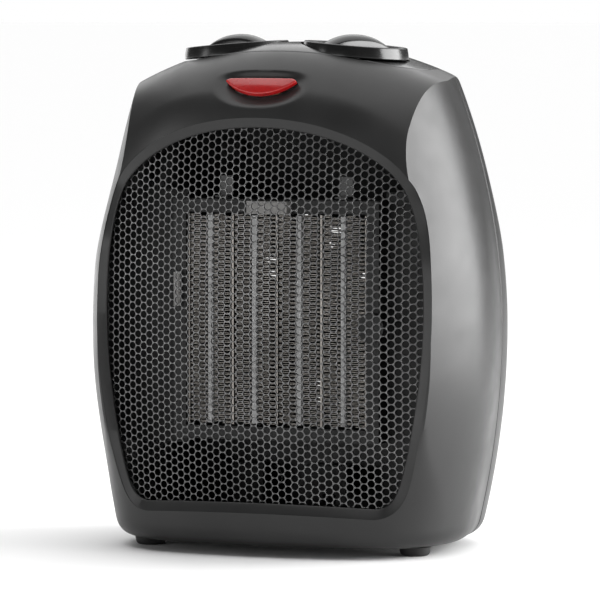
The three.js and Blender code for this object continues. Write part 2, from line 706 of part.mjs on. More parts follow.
function fanImpeller() {
  const blades = 7;
  const depth = 14;
  const hub = cylinderY(HUB_RADIUS, depth, 0, FAN_Y, 0, 28);
  const blade = (turn) => {
    const slab = new THREE.BoxGeometry(FAN_RADIUS - HUB_RADIUS + 2, 1.6, 24, 3, 1, 1);
    slab.translate((FAN_RADIUS + HUB_RADIUS) / 2 - 1, 0, 0);
    const { position } = slab.attributes;
    for (let i = 0; i < position.count; i++) {
      const x = position.getX(i);
      const pitch = THREE.MathUtils.degToRad(42 - 18 * (x - HUB_RADIUS) / (FAN_RADIUS - HUB_RADIUS));
      const [y, z] = [position.getY(i), position.getZ(i)];
      position.setY(i, y * Math.cos(pitch) + z * Math.sin(pitch) * 0.72);
      position.setZ(i, z * Math.cos(pitch) - y * Math.sin(pitch));
    }
    return solid(slab.rotateY(turn).translate(0, FAN_Y, 0));
  };
  const turns = range(blades).slice(0, -1).map((t) => blade(t * 2 * Math.PI));
  const bore = cylinderY(MOTOR_SHAFT_RADIUS + GAP, depth + 20, 0, FAN_Y, 0, 12);
  return wasm.Manifold.union([hub, ...turns]).subtract(bore).translate(0, 0, ELEMENT_Z);
}

const MOTOR_FRONT_Y = DUCT_BACK_Y + 4 + 2 * GAP;
const MOTOR_LENGTH = 20;

function motorBracket() {
  const y = DUCT_BACK_Y + 2 + GAP;
  const outside = FAN_RADIUS + 3.8;
  const inside = cylinderY(outside - 4, 6, 0, y, ELEMENT_Z, 36);
  const rim = cylinderY(outside, 4, 0, y, ELEMENT_Z, 36).subtract(inside);
  const arms = [0, 1, 2].map((i) => {
    const bar = new THREE.BoxGeometry(outside - 1.5, 4, 7).translate(outside / 2 - 0.8, 0, 0);
    return solid(bar.rotateY((i * 2 * Math.PI) / 3 + Math.PI / 6).translate(0, y, ELEMENT_Z));
  });
  const disc = cylinderY(MOTOR_RADIUS - 4, 4, 0, y, ELEMENT_Z, 24);
  const bore = cylinderY(5, 10, 0, y, ELEMENT_Z, 16);
  return wasm.Manifold.union([rim, ...arms, disc]).subtract(bore);
}

function addFan() {
  addNode("air_duct", airDuct(), DARK_PLASTIC());
  addNode("fan_impeller", fanImpeller(), DARK_PLASTIC());
  addNode("motor_bracket", motorBracket(), STEEL());
  const motorY = MOTOR_FRONT_Y + MOTOR_LENGTH / 2;
  const body = cylinderY(MOTOR_RADIUS, MOTOR_LENGTH, 0, motorY, ELEMENT_Z, 28);
  const bearing = cylinderY(MOTOR_SHAFT_RADIUS + GAP, 16, 0, MOTOR_FRONT_Y, ELEMENT_Z, 12);
  addNode("fan_motor", body.subtract(bearing), STEEL());
  const [from, to] = [FAN_Y - 5, MOTOR_FRONT_Y + 7];
  const shaft = cylinderY(MOTOR_SHAFT_RADIUS, to - from, 0, (from + to) / 2, ELEMENT_Z, 12);
  addNode("motor_shaft", shaft, STEEL());
}

// ---------------------------------------------------------------- base and rear fittings
function addRearFittings() {
  const wallY = rearWallY(GLAND_X, GLAND_Z);
  const barrel = cylinderY(GLAND_RADIUS, 12, GLAND_X, wallY - 4, GLAND_Z, 20);
  const collar = cylinderY(GLAND_RADIUS + 2, 1.6, GLAND_X, wallY - 9.2, GLAND_Z, 20);
  const bore = cylinderY(LEAD_RADIUS, 30, GLAND_X, wallY, GLAND_Z, 16);
  addNode("cord_gland", barrel.add(collar).subtract(bore), RUBBER());
  addNode("mains_terminal_block", box(16, 12, 24, GLAND_X, 36, 22), DARK_PLASTIC());
  for (const [name, x, z] of SCREWS) {
    const wall = rearWallY(x, z);
    const shank = cylinderY(SCREW_RADIUS, SCREW_LENGTH - 1, x, wall - (SCREW_LENGTH + 1) / 2, z, 10);
    const head = cylinderY(SCREW_HEAD_RADIUS, SCREW_HEAD_HEIGHT, x, wall - SCREW_HEAD_HEIGHT / 2, z, 14);
    addNode(name, shank.add(head), STEEL());
  }
  for (const [name, x, y] of FEET) {
    const height = FOOT_HEIGHT - GAP;
    addNode(name, cylinderZ(FOOT_RADIUS - 0.7, height, x, y, height / 2, 24, FOOT_RADIUS), RUBBER());
  }
}

addNode("front_shell", frontShell(), CHARCOAL());
addNode("rear_shell", rearShell(), CHARCOAL());
addNode("top_panel", topPanel(), GLOSS_BLACK());
addNode("front_grille", frontGrille(), GRILLE_STEEL());
KNOBS.forEach((control) => addControl(...control));
addPilotLight();
addElement();
addFan();
addTipSwitch();
addRearFittings();

export default root;
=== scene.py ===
"""The looks of a compact upright ceramic fan heater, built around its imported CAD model.

Lengths are worked out in millimetres and scaled to metres when a mesh is made.
The case is one smooth form, found by casting rays at a field of depths; both shells are cut from it.
"""
import json
import math

import bmesh
import bpy
import numpy as np
from mathutils import Matrix, Vector


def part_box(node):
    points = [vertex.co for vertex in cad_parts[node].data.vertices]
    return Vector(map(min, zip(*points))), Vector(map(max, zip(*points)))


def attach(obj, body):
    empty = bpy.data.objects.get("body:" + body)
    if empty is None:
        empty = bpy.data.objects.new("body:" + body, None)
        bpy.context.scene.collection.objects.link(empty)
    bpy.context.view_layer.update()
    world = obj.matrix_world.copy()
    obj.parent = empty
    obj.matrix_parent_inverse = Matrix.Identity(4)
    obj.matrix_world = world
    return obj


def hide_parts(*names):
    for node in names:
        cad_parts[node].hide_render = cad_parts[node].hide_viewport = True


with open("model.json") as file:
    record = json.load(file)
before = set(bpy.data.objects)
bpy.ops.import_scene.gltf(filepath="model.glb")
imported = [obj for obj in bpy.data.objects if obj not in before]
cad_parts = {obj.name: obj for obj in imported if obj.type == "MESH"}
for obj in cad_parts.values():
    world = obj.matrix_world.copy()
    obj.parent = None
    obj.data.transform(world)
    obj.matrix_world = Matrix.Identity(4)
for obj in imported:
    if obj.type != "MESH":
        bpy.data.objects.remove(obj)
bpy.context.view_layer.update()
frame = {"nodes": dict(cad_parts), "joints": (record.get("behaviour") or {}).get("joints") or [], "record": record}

MM = 0.001


def box_mm(node):
    """Lowest and highest corner of a CAD node, in millimetres."""
    low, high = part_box(node)
    return np.array(low) / MM, np.array(high) / MM


def joint(name):
    return next(entry for entry in frame["joints"] if entry["name"] == name)


# ------------------------------------------------------------------ sizes, from the frame
SHELL_LOW, SHELL_HIGH = box_mm("front_shell")
REAR_LOW, REAR_HIGH = box_mm("rear_shell")
PANEL_LOW, PANEL_HIGH = box_mm("top_panel")
ELEMENT_LOW, ELEMENT_HIGH = box_mm("element_frame")

SEAM_Y = (SHELL_HIGH[1] + REAR_LOW[1]) / 2
SEAM_GAP = (REAR_LOW[1] - SHELL_HIGH[1]) / 2
BASE_Z = SHELL_LOW[2]
CROWN_Z = PANEL_HIGH[2]
REAR_Y = REAR_HIGH[1] - 0.05   # a hair inside the CAD model's faceted back
SEAM_HALF_WIDTH = REAR_HIGH[0]
KNOB_TILT = math.asin(joint("mode_turn")["axis"][0])
KNOB_CENTRE = [value / MM for value in joint("mode_turn")["pos_m"]]
ELEMENT_Z = (ELEMENT_LOW[2] + ELEMENT_HIGH[2]) / 2

# ------------------------------------------------------------------ sizes of the finer forms
FRONT_Y = -71.0          # the front face at its foremost
CORNER_Y = -54.8         # the crease between the front and side faces
WAIST_Z = 104.0          # height of the greatest width
WALL = 2.4
BEZEL_WIDTH = 4.6
GRILLE_FRONT_Y = -68.5
GRILLE_RADIUS = 215.0    # of the grille's curve in plan
GRILLE_SET_BACK = 1.9
GRILLE_PITCH = 3.7
PANEL_THICKNESS = 2.6
FIT = 0.3                # clearance between neighbouring pieces


# ------------------------------------------------------------------ form of the case
def smooth(start, end, value):
    t = np.clip((value - start) / (end - start), 0, 1)
    return t * t * (3 - 2 * t)


def soft_min(a, b, reach):
    """The smaller of two depths, rounded off where they are within reach of each other."""
    reach = np.maximum(reach, 1e-6)
    share = np.maximum(reach - np.abs(a - b), 0) / reach
    return np.minimum(a, b) - share * share * reach / 4


def bisect(holds, near, far, rounds=34):
    """How far a test still holds on the way from near, where it does, to far, where it doesn't."""
    for _ in range(rounds):
        middle = (near + far) / 2
        kept = holds(middle)
        near = np.where(kept, middle, near)
        far = np.where(kept, far, middle)
    return near


TAPER_ABOVE = 0.0017   # how fast the sides draw in above the waist, per square millimetre
TAPER_BELOW = 0.0013
LEAST_HALF_WIDTH = 20


def seam_half_width(z):
    taper = np.where(z > WAIST_Z, TAPER_ABOVE, TAPER_BELOW)
    return np.maximum(SEAM_HALF_WIDTH - taper * (z - WAIST_Z) ** 2, LEAST_HALF_WIDTH)


LEAN_ABOVE = 0.0006    # how fast the front leans back above and below its foremost height
LEAN_BELOW = 0.0008
LEAN_Z = 100


def front_lean(z):
    return np.where(z > LEAN_Z, LEAN_ABOVE, LEAN_BELOW) * (z - LEAN_Z) ** 2


CORNER_SHARE = 0.877          # half width at the crease as a share of that at the seam
SHOULDER_NARROWING = 0.052    # taken off the share at the shoulders
CHIN_NARROWING = 0.028        # and at the chin


def corner_half_width(z):
    shoulder = SHOULDER_NARROWING * smooth(130, 186, z)
    chin = CHIN_NARROWING * (1 - smooth(30, 90, z))
    return (CORNER_SHARE - shoulder - chin) * seam_half_width(z)


RIDGE_Y = -5              # the crown is highest along this line
CROWN_DROP = 12.5         # by how much it falls sideways over its half width
CROWN_HALF_WIDTH = 62
BROW_DROP = 3.8           # by how much it falls over the reaches to the front and the back
BROW_POWER = 3.25
FRONT_REACH = 31
BACK_REACH = 42
TEMPLE_HALF_WIDTH = 69    # the brow falls faster towards the temples
TEMPLE_SHARE = 1.15


def crown_height(x, y):
    across = CROWN_DROP * (x / CROWN_HALF_WIDTH) ** 2
    ahead = np.maximum(0, RIDGE_Y - y) / FRONT_REACH
    behind = np.maximum(0, y - RIDGE_Y) / BACK_REACH
    temple = 1 + TEMPLE_SHARE * (x / TEMPLE_HALF_WIDTH) ** 4
    return CROWN_Z - across - BROW_DROP * (ahead ** BROW_POWER * temple + behind ** BROW_POWER)


SLOPE_STEP = 0.1   # over which slopes are taken


def crown_depth(x, y, z):
    height = crown_height(x, y)
    along_x = (crown_height(x + SLOPE_STEP, y) - height) / SLOPE_STEP
    along_y = (crown_height(x, y + SLOPE_STEP) - height) / SLOPE_STEP
    return (height - z) / np.sqrt(1 + along_x ** 2 + along_y ** 2)


def face_depth(x, y, z):
    corner = corner_half_width(z)
    middle = FRONT_Y + front_lean(z)
    surface = middle + (CORNER_Y - middle) * (x / corner) ** 2
    slope = 2 * (CORNER_Y - middle) * x / corner ** 2
    return (y - surface) / np.sqrt(1 + slope ** 2)


LEAVE = math.radians(33)   # plan angle of the side face where it leaves the front corner
ARRIVE = math.radians(5)   # and where it reaches the seam, already turning inwards
LEAVE_REACH = 43           # lengths of the side curve's handles at its two ends
ARRIVE_REACH = 20
CURVE_T = np.linspace(0, 1, 801)


def bezier(p0, p1, p2, p3, t):
    s = 1 - t
    return s ** 3 * p0 + 3 * s * s * t * p1 + 3 * s * t * t * p2 + t ** 3 * p3


SIDE_Y = bezier(
    CORNER_Y,
    CORNER_Y + LEAVE_REACH * math.cos(LEAVE),
    SEAM_Y - ARRIVE_REACH * math.cos(ARRIVE),
    SEAM_Y,
    CURVE_T,
)


def side_x(y, z):
    """Half width of the side face at a depth and height."""
    corner = corner_half_width(z)
    seam = seam_half_width(z)
    t = np.interp(y, SIDE_Y, CURVE_T)
    curve = bezier(
        corner,
        corner + LEAVE_REACH * math.sin(LEAVE),
        seam + ARRIVE_REACH * math.sin(ARRIVE),
        seam,
        t,
    )
    return curve + np.minimum(0, y - CORNER_Y) * math.tan(LEAVE)


def side_depth(x, y, z):
    half = side_x(y, z)
    slope = (side_x(y + SLOPE_STEP, z) - half) / SLOPE_STEP
    return (half - np.abs(x)) / np.sqrt(1 + slope ** 2)


REAR_LEAN = 0.0008   # how fast the back leans forwards above and below its rearmost height
REAR_LEAN_Z = 90
LEAST_SLOPE = 1 / 120   # keeps the depth finite in the middle, where the slope goes to nothing


def rear_exponent(z):
    """Squarish in plan up to the shoulders, and nearly an ellipse at the crown."""
    return 0.54 + 0.3 * smooth(140, 180, z)


def rear_reach(z):
    return REAR_Y - REAR_LEAN * (z - REAR_LEAN_Z) ** 2 - SEAM_Y


def rear_depth(x, y, z):
    power = 2 / rear_exponent(z)
    across = np.abs(x) / seam_half_width(z)
    along = np.maximum(0, y - SEAM_Y) / rear_reach(z)
    level = 1 - across ** power - along ** 2
    slope_x = power * across ** (power - 1) / seam_half_width(z)
    slope_y = 2 * along / rear_reach(z)
    return level / np.maximum(np.hypot(slope_x, slope_y), LEAST_SLOPE)


LENS_TILT = math.radians(33)   # the forehead leans back by this much at the lens
LENS_CENTRE = (0.0, -56.5, 218.6)
DISH_DEPTH = 2.5
DISH_HALF_WIDTH = 24.3
DISH_RISE = 1.0       # the dish's widest line lies this far above the lens's centre
DISH_ABOVE = 8.6
DISH_BELOW = 13.6
UPPER_POWER = 3.4     # the dish is squarer above than below
LOWER_POWER = 2.2
DISH_FLAT = 0.52      # share of the dish that is its floor


def dish(x, y, z):
    """Depth of the soft dish pressed into the forehead round the lens."""
    up = (y - LENS_CENTRE[1]) * math.sin(LENS_TILT) + (z - LENS_CENTRE[2]) * math.cos(LENS_TILT)
    rise = up - DISH_RISE
    across = np.abs(x) / DISH_HALF_WIDTH
    above = np.maximum(rise, 0) / DISH_ABOVE
    below = np.maximum(-rise, 0) / DISH_BELOW
    upper = (across ** UPPER_POWER + above ** UPPER_POWER) ** (1 / UPPER_POWER)
    lower = (across ** LOWER_POWER + below ** LOWER_POWER) ** (1 / LOWER_POWER)
    reach = np.where(rise > 0, upper, lower)
    return DISH_DEPTH * (1 - smooth(DISH_FLAT, 1.0, reach)) * (y < PANEL_LOW[1])


BROW_ROUND = 5.0       # reach of the rounding between the face and the crown
CHIN_ROUND = 16.0      # between the face and the sides at the chin; the crease above is sharp
NAPE_ROUND = 12.0      # between the back and the crown
BASE_ROUND = 9.0


def front_depth(x, y, z):
    return soft_min(face_depth(x, y, z), crown_depth(x, y, z), BROW_ROUND)


def case_depth(x, y, z):
    """How far inside the surface of the whole case a point lies."""
    corner_round = CHIN_ROUND * (1 - smooth(14, 66, z))
    ahead = soft_min(front_depth(x, y, z), side_depth(x, y, z), corner_round)
    rear_round = NAPE_ROUND * smooth(SEAM_Y, SEAM_Y + 30, y)
    behind = soft_min(rear_depth(x, y, z), crown_depth(x, y, z), rear_round)
    walls = np.where(y < SEAM_Y, ahead, behind)
    return soft_min(walls, z - BASE_Z, BASE_ROUND) - dish(x, y, z)


RAY_ORIGIN = np.array([0.0, SEAM_Y, 112.0])
RAY_REACH = 190.0   # past every point of the case


def cast(directions, level=0.0):
    """Where rays from the middle of the seam meet the surface that lies level deep in the case."""
    def inside(distance):
        point = RAY_ORIGIN + directions * distance[..., None]
        return case_depth(point[..., 0], point[..., 1], point[..., 2]) > level

    reach = bisect(inside, np.zeros(directions.shape[:-1]), np.full(directions.shape[:-1], RAY_REACH))
    return RAY_ORIGIN + directions * reach[..., None]


def direction(azimuth, elevation):
    """Azimuth 0 points to the front and 90 degrees to the right."""
    flat = np.cos(elevation)
    return np.stack([flat * np.sin(azimuth), -flat * np.cos(azimuth), np.sin(elevation)], -1)


def crease_azimuth(elevation):
    """Where the front face meets the side face, for each elevation."""
    def on_face(azimuth):
        x, y, z = np.moveaxis(cast(direction(azimuth, elevation)), -1, 0)
        return front_depth(x, y, z) < side_depth(x, y, z)

    low, high = (np.full(elevation.shape, math.radians(angle)) for angle in (20, 90))
    return bisect(on_face, low, high, rounds=26)


# ------------------------------------------------------------------ meshes
def mesh_piece(name, vertices, faces, weld=0.0):
    """A new object from points in millimetres, with its faces turned outwards."""
    mesh = bpy.data.meshes.new(name)
    mesh.from_pydata([tuple(v) for v in np.asarray(vertices) * MM], [], faces)
    piece = bpy.data.objects.new(name, mesh)
    bpy.context.scene.collection.objects.link(piece)
    work = bmesh.new()
    work.from_mesh(mesh)
    if weld:
        bmesh.ops.remove_doubles(work, verts=work.verts, dist=weld * MM)
    bmesh.ops.recalc_face_normals(work, faces=work.faces)
    work.to_mesh(mesh)
    work.free()
    return piece


def grid_faces(rows, columns, start=0, wrap=False):
    faces = []
    for r in range(rows - 1):
        for c in range(columns if wrap else columns - 1):
            d = (c + 1) % columns
            a = start + r * columns
            faces.append((a + c, a + d, a + columns + d, a + columns + c))
    return faces


def loft(name, rings, weld=0.0):
    """A closed solid over a stack of rings, with a flat face on each end."""
    count = len(rings[0])
    faces = grid_faces(len(rings), count, wrap=True)
    last = (len(rings) - 1) * count
    faces.append(tuple(range(count)))
    faces.append(tuple(range(last, last + count)))
    return mesh_piece(name, np.concatenate(rings), faces, weld)


def ring_solid(name, rings):
    """A closed solid without ends, like a hoop: the last ring is joined to the first."""
    count = len(rings[0])
    faces = grid_faces(len(rings), count, wrap=True)
    last = (len(rings) - 1) * count
    faces += [(last + i, last + (i + 1) % count, (i + 1) % count, i) for i in range(count)]
    return mesh_piece(name, np.concatenate(rings), faces)


def lathe(name, profile, segments):
    """A closed solid of revolution about Z from (radius, height) points that start and end on the axis."""
    turn = np.linspace(0, 2 * math.pi, segments, endpoint=False)
    inner = profile[1:-1]
    rings = [np.stack([r * np.cos(turn), r * np.sin(turn), np.full(segments, z)], -1) for r, z in inner]
    points = np.concatenate(rings + [[[0, 0, profile[0][1]], [0, 0, profile[-1][1]]]])
    faces = grid_faces(len(inner), segments, wrap=True)
    first = len(inner) * segments
    last = first - segments
    for i in range(segments):
        j = (i + 1) % segments
        faces.append((first, i, j))
        faces.append((first + 1, last + j, last + i))
    return mesh_piece(name, points, faces)


def prism(name, outline, low, high):
    """A straight solid over an outline in the X-Y plane."""
    flat = np.asarray(outline)
    rings = [np.column_stack([flat, np.full(len(flat), z)]) for z in (low, high)]
    return loft(name, rings)


def bake(piece):
    """Takes what the modifiers make as the piece's own mesh."""
    graph = bpy.context.evaluated_depsgraph_get()
    made = bpy.data.meshes.new_from_object(piece.evaluated_get(graph))
    piece.modifiers.clear()
    old = piece.data
    piece.data = made
    bpy.data.meshes.remove(old)


def combine(piece, other, operation="DIFFERENCE"):
    """A boolean of two closed meshes, which uses up the second one."""
    modifier = piece.modifiers.new("combine", "BOOLEAN")
    modifier.operation = operation
    modifier.solver = "MANIFOLD"
    modifier.object = other
    bpy.context.view_layer.update()
    bake(piece)
    bpy.data.objects.remove(other)
    return piece


def join(name, pieces):
    """One object from several, with their meshes side by side."""
    work = bmesh.new()
    for piece in pieces:
        part = piece.data.copy()
        part.transform(piece.matrix_world)
        work.from_mesh(part)
        bpy.data.meshes.remove(part)
    mesh = bpy.data.meshes.new(name)
    work.to_mesh(mesh)
    work.free()
    for piece in pieces:
        bpy.data.objects.remove(piece)
    made = bpy.data.objects.new(name, mesh)
    bpy.context.scene.collection.objects.link(made)
    return made


def place(piece, matrix):
    piece.data.transform(matrix)
    return piece


def shade(piece, angle=24):
    """Smooth shading, broken at every edge sharper than the angle."""
    piece.data.shade_smooth()
    piece.data.set_sharp_from_angle(angle=math.radians(angle))
    return piece


def finish_piece(piece, body, slot, material, *nodes, angle=24):
    shade(piece, angle)
    piece.data.materials.clear()
    piece.data.materials.append(material)
    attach(piece, body)
    if nodes:
        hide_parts(*nodes)
    return piece


# ------------------------------------------------------------------ camera
def add_camera():
    """Seen from the right of the front and a little above the panel, through a long lens."""
    data = bpy.data.cameras.new("camera")
    data.lens = 265.6
    data.sensor_width = 36
    data.clip_end = 500
    camera = bpy.data.objects.new("camera", data)
    bpy.context.scene.collection.objects.link(camera)
    yaw = math.radians(20.5)
    distance = 2100 * MM
    camera.location = (distance * math.sin(yaw), -distance * math.cos(yaw), 250 * MM)
    target = Vector((-1.34, -0.5, 115.9)) * MM
    camera.rotation_euler = (target - camera.location).to_track_quat("-Z", "Y").to_euler()
    bpy.context.scene.camera = camera


# ------------------------------------------------------------------ outlines
def bezier_points(p0, p1, p2, p3, steps):
    """Points along a cubic curve in a plane, with its directions, without the first point."""
    t = np.linspace(0, 1, steps + 1)[1:, None]
    p0, p1, p2, p3 = (np.array(p, float) for p in (p0, p1, p2, p3))
    points = bezier(p0, p1, p2, p3, t)
    s = 1 - t
    along = s * s * (p1 - p0) + 2 * s * t * (p2 - p1) + t * t * (p3 - p2)
    return points, along / np.linalg.norm(along, axis=1, keepdims=True)


SILL_MIDDLE_Z = 25.4         # the sill of the opening bows up a little in its middle
SILL_END = (56, 23.8)
LOWER_CORNER = (68.8, 39)
WIDEST = (78.6, 112)
SHOULDER = (69.8, 170.3)
APEX = (0, 199.2)


def opening_outline(offset, steps=26):
    """The arched opening in the X-Z plane, counterclockwise, moved outwards by the offset."""
    sill_x = np.linspace(0, SILL_END[0], steps)
    bow = SILL_MIDDLE_Z - SILL_END[1]
    slope = -2 * bow * sill_x / SILL_END[0] ** 2
    points = [np.column_stack([sill_x, SILL_MIDDLE_Z - bow * (sill_x / SILL_END[0]) ** 2])]
    along = [np.column_stack([np.ones(steps), slope]) / np.hypot(1, slope)[:, None]]
    for curve in (
        (SILL_END, (64, SILL_END[1]), (66.5, 31), LOWER_CORNER),
        (LOWER_CORNER, (73, 55), (WIDEST[0], 85), WIDEST),
        (WIDEST, (WIDEST[0], 140), (76, 158), SHOULDER),
        (SHOULDER, (62, 184), (38, APEX[1]), APEX),
    ):
        spots, ways = bezier_points(*curve, steps)
        points.append(spots)
        along.append(ways)
    points = np.concatenate(points)
    along = np.concatenate(along)
    half = points + offset * np.column_stack([along[:, 1], -along[:, 0]])
    half[0, 0] = 0
    half[-1, 0] = 0
    return np.concatenate([half, (half[1:-1] * [-1, 1])[::-1]])


def panel_outline(offset, steps=14):
    """The top panel in plan, clockwise from the middle of its front edge."""
    half = PANEL_HIGH[0] + FIT + offset
    front = PANEL_LOW[1] - FIT - offset
    rear = PANEL_HIGH[1] + FIT + offset
    bend = (56, front + 12)
    side_front = (half, front + 34)
    side_rear = (half - 3, rear - 8)
    corner = (half - 4, rear)
    rear_end = (half - 14, rear)
    pieces = [
        bezier_points((0, front), (26, front), (44, front + 4), bend, steps)[0],
        bezier_points(bend, (half - 3, front + 17), (half, front + 24), side_front, steps)[0],
        np.linspace(side_front, side_rear, steps)[1:],
        bezier_points(side_rear, corner, corner, rear_end, steps)[0],
        np.linspace(rear_end, (0, rear), steps)[1:],
    ]
    right = np.concatenate([[(0, front)], *pieces])
    return np.concatenate([right, (right[1:-1] * [-1, 1])[::-1]])


LENS_HALF_WIDTH = 17.2
LENS_TOP = 3.6
LENS_LOWEST = -5.0


def lens_outline(offset, steps=10):
    """Half-moon in the lens's own plane: a straight top edge and a bowed bottom edge."""
    half = LENS_HALF_WIDTH + offset
    top = LENS_TOP + offset
    low = LENS_LOWEST - offset
    shoulder = (half - 2, top)
    corner = (half + 1, 2.4)
    cheek = (half - 3.4, -0.8)
    right = [
        np.linspace((0, top), shoulder, steps),
        bezier_points(shoulder, corner, corner, cheek, steps)[0],
        bezier_points(cheek, (10, low + 1.6), (5, low), (0, low), steps)[0],
    ]
    right = np.concatenate(right)
    return np.concatenate([right, (right[1:-1] * [-1, 1])[::-1]])


def drawn_in(outline, distance):
    """The outline moved inwards along its own normals."""
    ahead = np.roll(outline, -1, 0)
    behind = np.roll(outline, 1, 0)
    along = ahead - behind
    along = along / np.linalg.norm(along, axis=1, keepdims=True)
    inward = np.column_stack([-along[:, 1], along[:, 0]])
    x, y = outline[:, 0], outline[:, 1]
    area = np.sum(x * np.roll(y, -1) - np.roll(x, -1) * y)
    return outline + inward * distance * np.sign(area)


def pillow(name, outline, top, bottom, edge, rings=14, centre=(0, 0)):
    """A plate over an outline, with a free-form top, a free-form bottom and a rounded upper edge."""
    rounding = np.radians(np.linspace(0, 90, 6))
    inner = drawn_in(outline, edge)
    middle = np.array(centre, float)
    layers = []
    for share in np.linspace(0.02, 1, rings)[:-1]:
        flat = middle + (inner - middle) * share
        layers.append(np.column_stack([flat, top(flat[:, 0], flat[:, 1])]))
    for angle in rounding:
        flat = drawn_in(outline, edge * (1 - math.sin(angle)))
        drop = edge * (1 - math.cos(angle))
        layers.append(np.column_stack([flat, top(flat[:, 0], flat[:, 1]) - drop]))
    layers.append(np.column_stack([outline, bottom(outline[:, 0], outline[:, 1])]))
    for share in (0.5, 0.02):
        flat = middle + (outline - middle) * share
        layers.append(np.column_stack([flat, bottom(flat[:, 0], flat[:, 1])]))
    return loft(name, layers)


def onto_plane(outline, y_of):
    """Stands an X-Z outline up in space, at a depth that is a function of its place."""
    x, z = outline[:, 0], outline[:, 1]
    return np.column_stack([x, y_of(x, z), z])


# ------------------------------------------------------------------ the case
SIDE_COLUMNS = 40
FACE_COLUMNS = 96
SEAM_BITE = 0.45     # how far the shells' rims turn in at the seam, which makes its shadow line
WELD = 0.004         # brings together the points where rays meet at the top and the base


def elevations():
    """Ray elevations: close together over the rounded base edge and over the forehead."""
    stretches = ((-90, -58, 10), (-58, -38, 60), (-38, 40, 130), (40, 68, 120), (68, 90, 16))
    parts = [np.linspace(low, high, count, endpoint=False) for low, high, count in stretches]
    return np.radians(np.concatenate(parts + [[90]]))


def half_form(name, front, elevation, face_columns, side_columns, level=0.0, beyond=0.0):
    """A closed solid: the front or the rear half of the case, level deep in its surface.

    Its flat face lies on the seam, or past it by the given distance."""
    if front:
        crease = crease_azimuth(elevation)[:, None]
        face = crease * np.linspace(0, 1, face_columns + 1)
        shares = np.append(np.linspace(0, 1, side_columns)[1:-1], [0.992, 1])
        side = crease + (math.pi / 2 - crease) * shares
        right = np.concatenate([face, side], 1)
    else:
        shares = np.append(np.linspace(0, 1, face_columns + side_columns)[:-1], [0.995, 1])
        right = math.pi - math.pi / 2 * shares * np.ones((len(elevation), 1))
    azimuth = np.concatenate([-right[:, :0:-1], right], 1)
    tilt = np.repeat(elevation[:, None], azimuth.shape[1], 1)
    points = cast(direction(azimuth, tilt), level)
    away = 1 if front else -1
    rim = SEAM_Y + away * (beyond - SEAM_GAP * (beyond == 0))
    for column in (0, -1):
        if beyond:
            points[:, column, 1] = SEAM_Y
        else:
            inwards = RAY_ORIGIN - points[:, column]
            length = np.maximum(np.linalg.norm(inwards, axis=1, keepdims=True), 1)
            points[:, column] += inwards / length * SEAM_BITE
            points[:, column, 1] = rim
    if beyond:
        points = np.concatenate([points[:, :1], points, points[:, -1:]], 1)
        points[:, (0, -1), 1] = rim
    rows, columns = points.shape[:2]
    faces = grid_faces(rows, columns)
    border = [r * columns for r in range(rows)]
    border += [r * columns + columns - 1 for r in range(rows - 2, 0, -1)]
    centre = rows * columns
    for i, a in enumerate(border):
        faces.append((centre, a, border[(i + 1) % len(border)]))
    middle = [[0, rim, RAY_ORIGIN[2]]]
    return mesh_piece(name, np.concatenate([points.reshape(-1, 3), middle]), faces, weld=WELD)


def hollow_form(front):
    coarse = np.radians(np.linspace(-90, 90, 91))
    return half_form("hollow", front, coarse, 30, 14, WALL, beyond=3.0)


def face_y(x, z):
    """Depth of the front surface at a place seen from the front."""
    return bisect(lambda y: case_depth(x, y, z) <= 0, np.full(x.shape, -90.0), np.full(x.shape, -20.0))


def case_top(x, y):
    """Height of the crown at a place in plan, with the rounding at its edges."""
    return bisect(lambda z: case_depth(x, y, z) > 0, np.full(x.shape, 150.0), np.full(x.shape, CROWN_Z + 1))


def grille_y(x, z):
    return GRILLE_FRONT_Y + front_lean(z) + GRILLE_RADIUS - np.sqrt(GRILLE_RADIUS ** 2 - x * x)


BEZEL_STEP = 0.25    # the bevel starts this far below the face, which draws a thin line round it
LIP_ROUND = 0.5
SEAT_MARGIN = 3      # how far the seat of the grille reaches past the bevel, behind the face
SEAT_FRONT = -8      # depths of its two faces from the front of the grille
SEAT_BACK = 1.5


def opening_cutter():
    """Narrows in a bevel from the face of the shell to the grille's edge."""
    wide = opening_outline(BEZEL_WIDTH)
    narrow = opening_outline(0.0)
    return loft("opening", [
        onto_plane(wide, lambda x, z: np.full(x.shape, -95.0)),
        onto_plane(wide, lambda x, z: face_y(x, z) + BEZEL_STEP),
        onto_plane(drawn_in(narrow, -LIP_ROUND), lambda x, z: grille_y(x, z) - 0.12),
        onto_plane(narrow, lambda x, z: grille_y(x, z) + 0.4),
        onto_plane(narrow, lambda x, z: np.full(x.shape, -30.0)),
    ])


def grille_seat():
    """The rim inside the shell that the bevel is cut into and the grille sits against."""
    outer = opening_outline(BEZEL_WIDTH + SEAT_MARGIN)
    inner = opening_outline(-1.0)
    corners = ((outer, SEAT_FRONT), (outer, SEAT_BACK), (inner, SEAT_BACK), (inner, SEAT_FRONT))
    rings = [onto_plane(outline, grille_y) + [0, depth, 0] for outline, depth in corners]
    return ring_solid("seat", rings)


def on_forehead(piece):
    turn = Matrix.Rotation(math.pi / 2 - LENS_TILT, 4, "X")
    return place(piece, Matrix.Translation(Vector(LENS_CENTRE) * MM) @ turn)


def panel_well():
    """The opening in both shells that the top panel drops into."""
    return prism("panel_well", panel_outline(0.0), 150, 300)


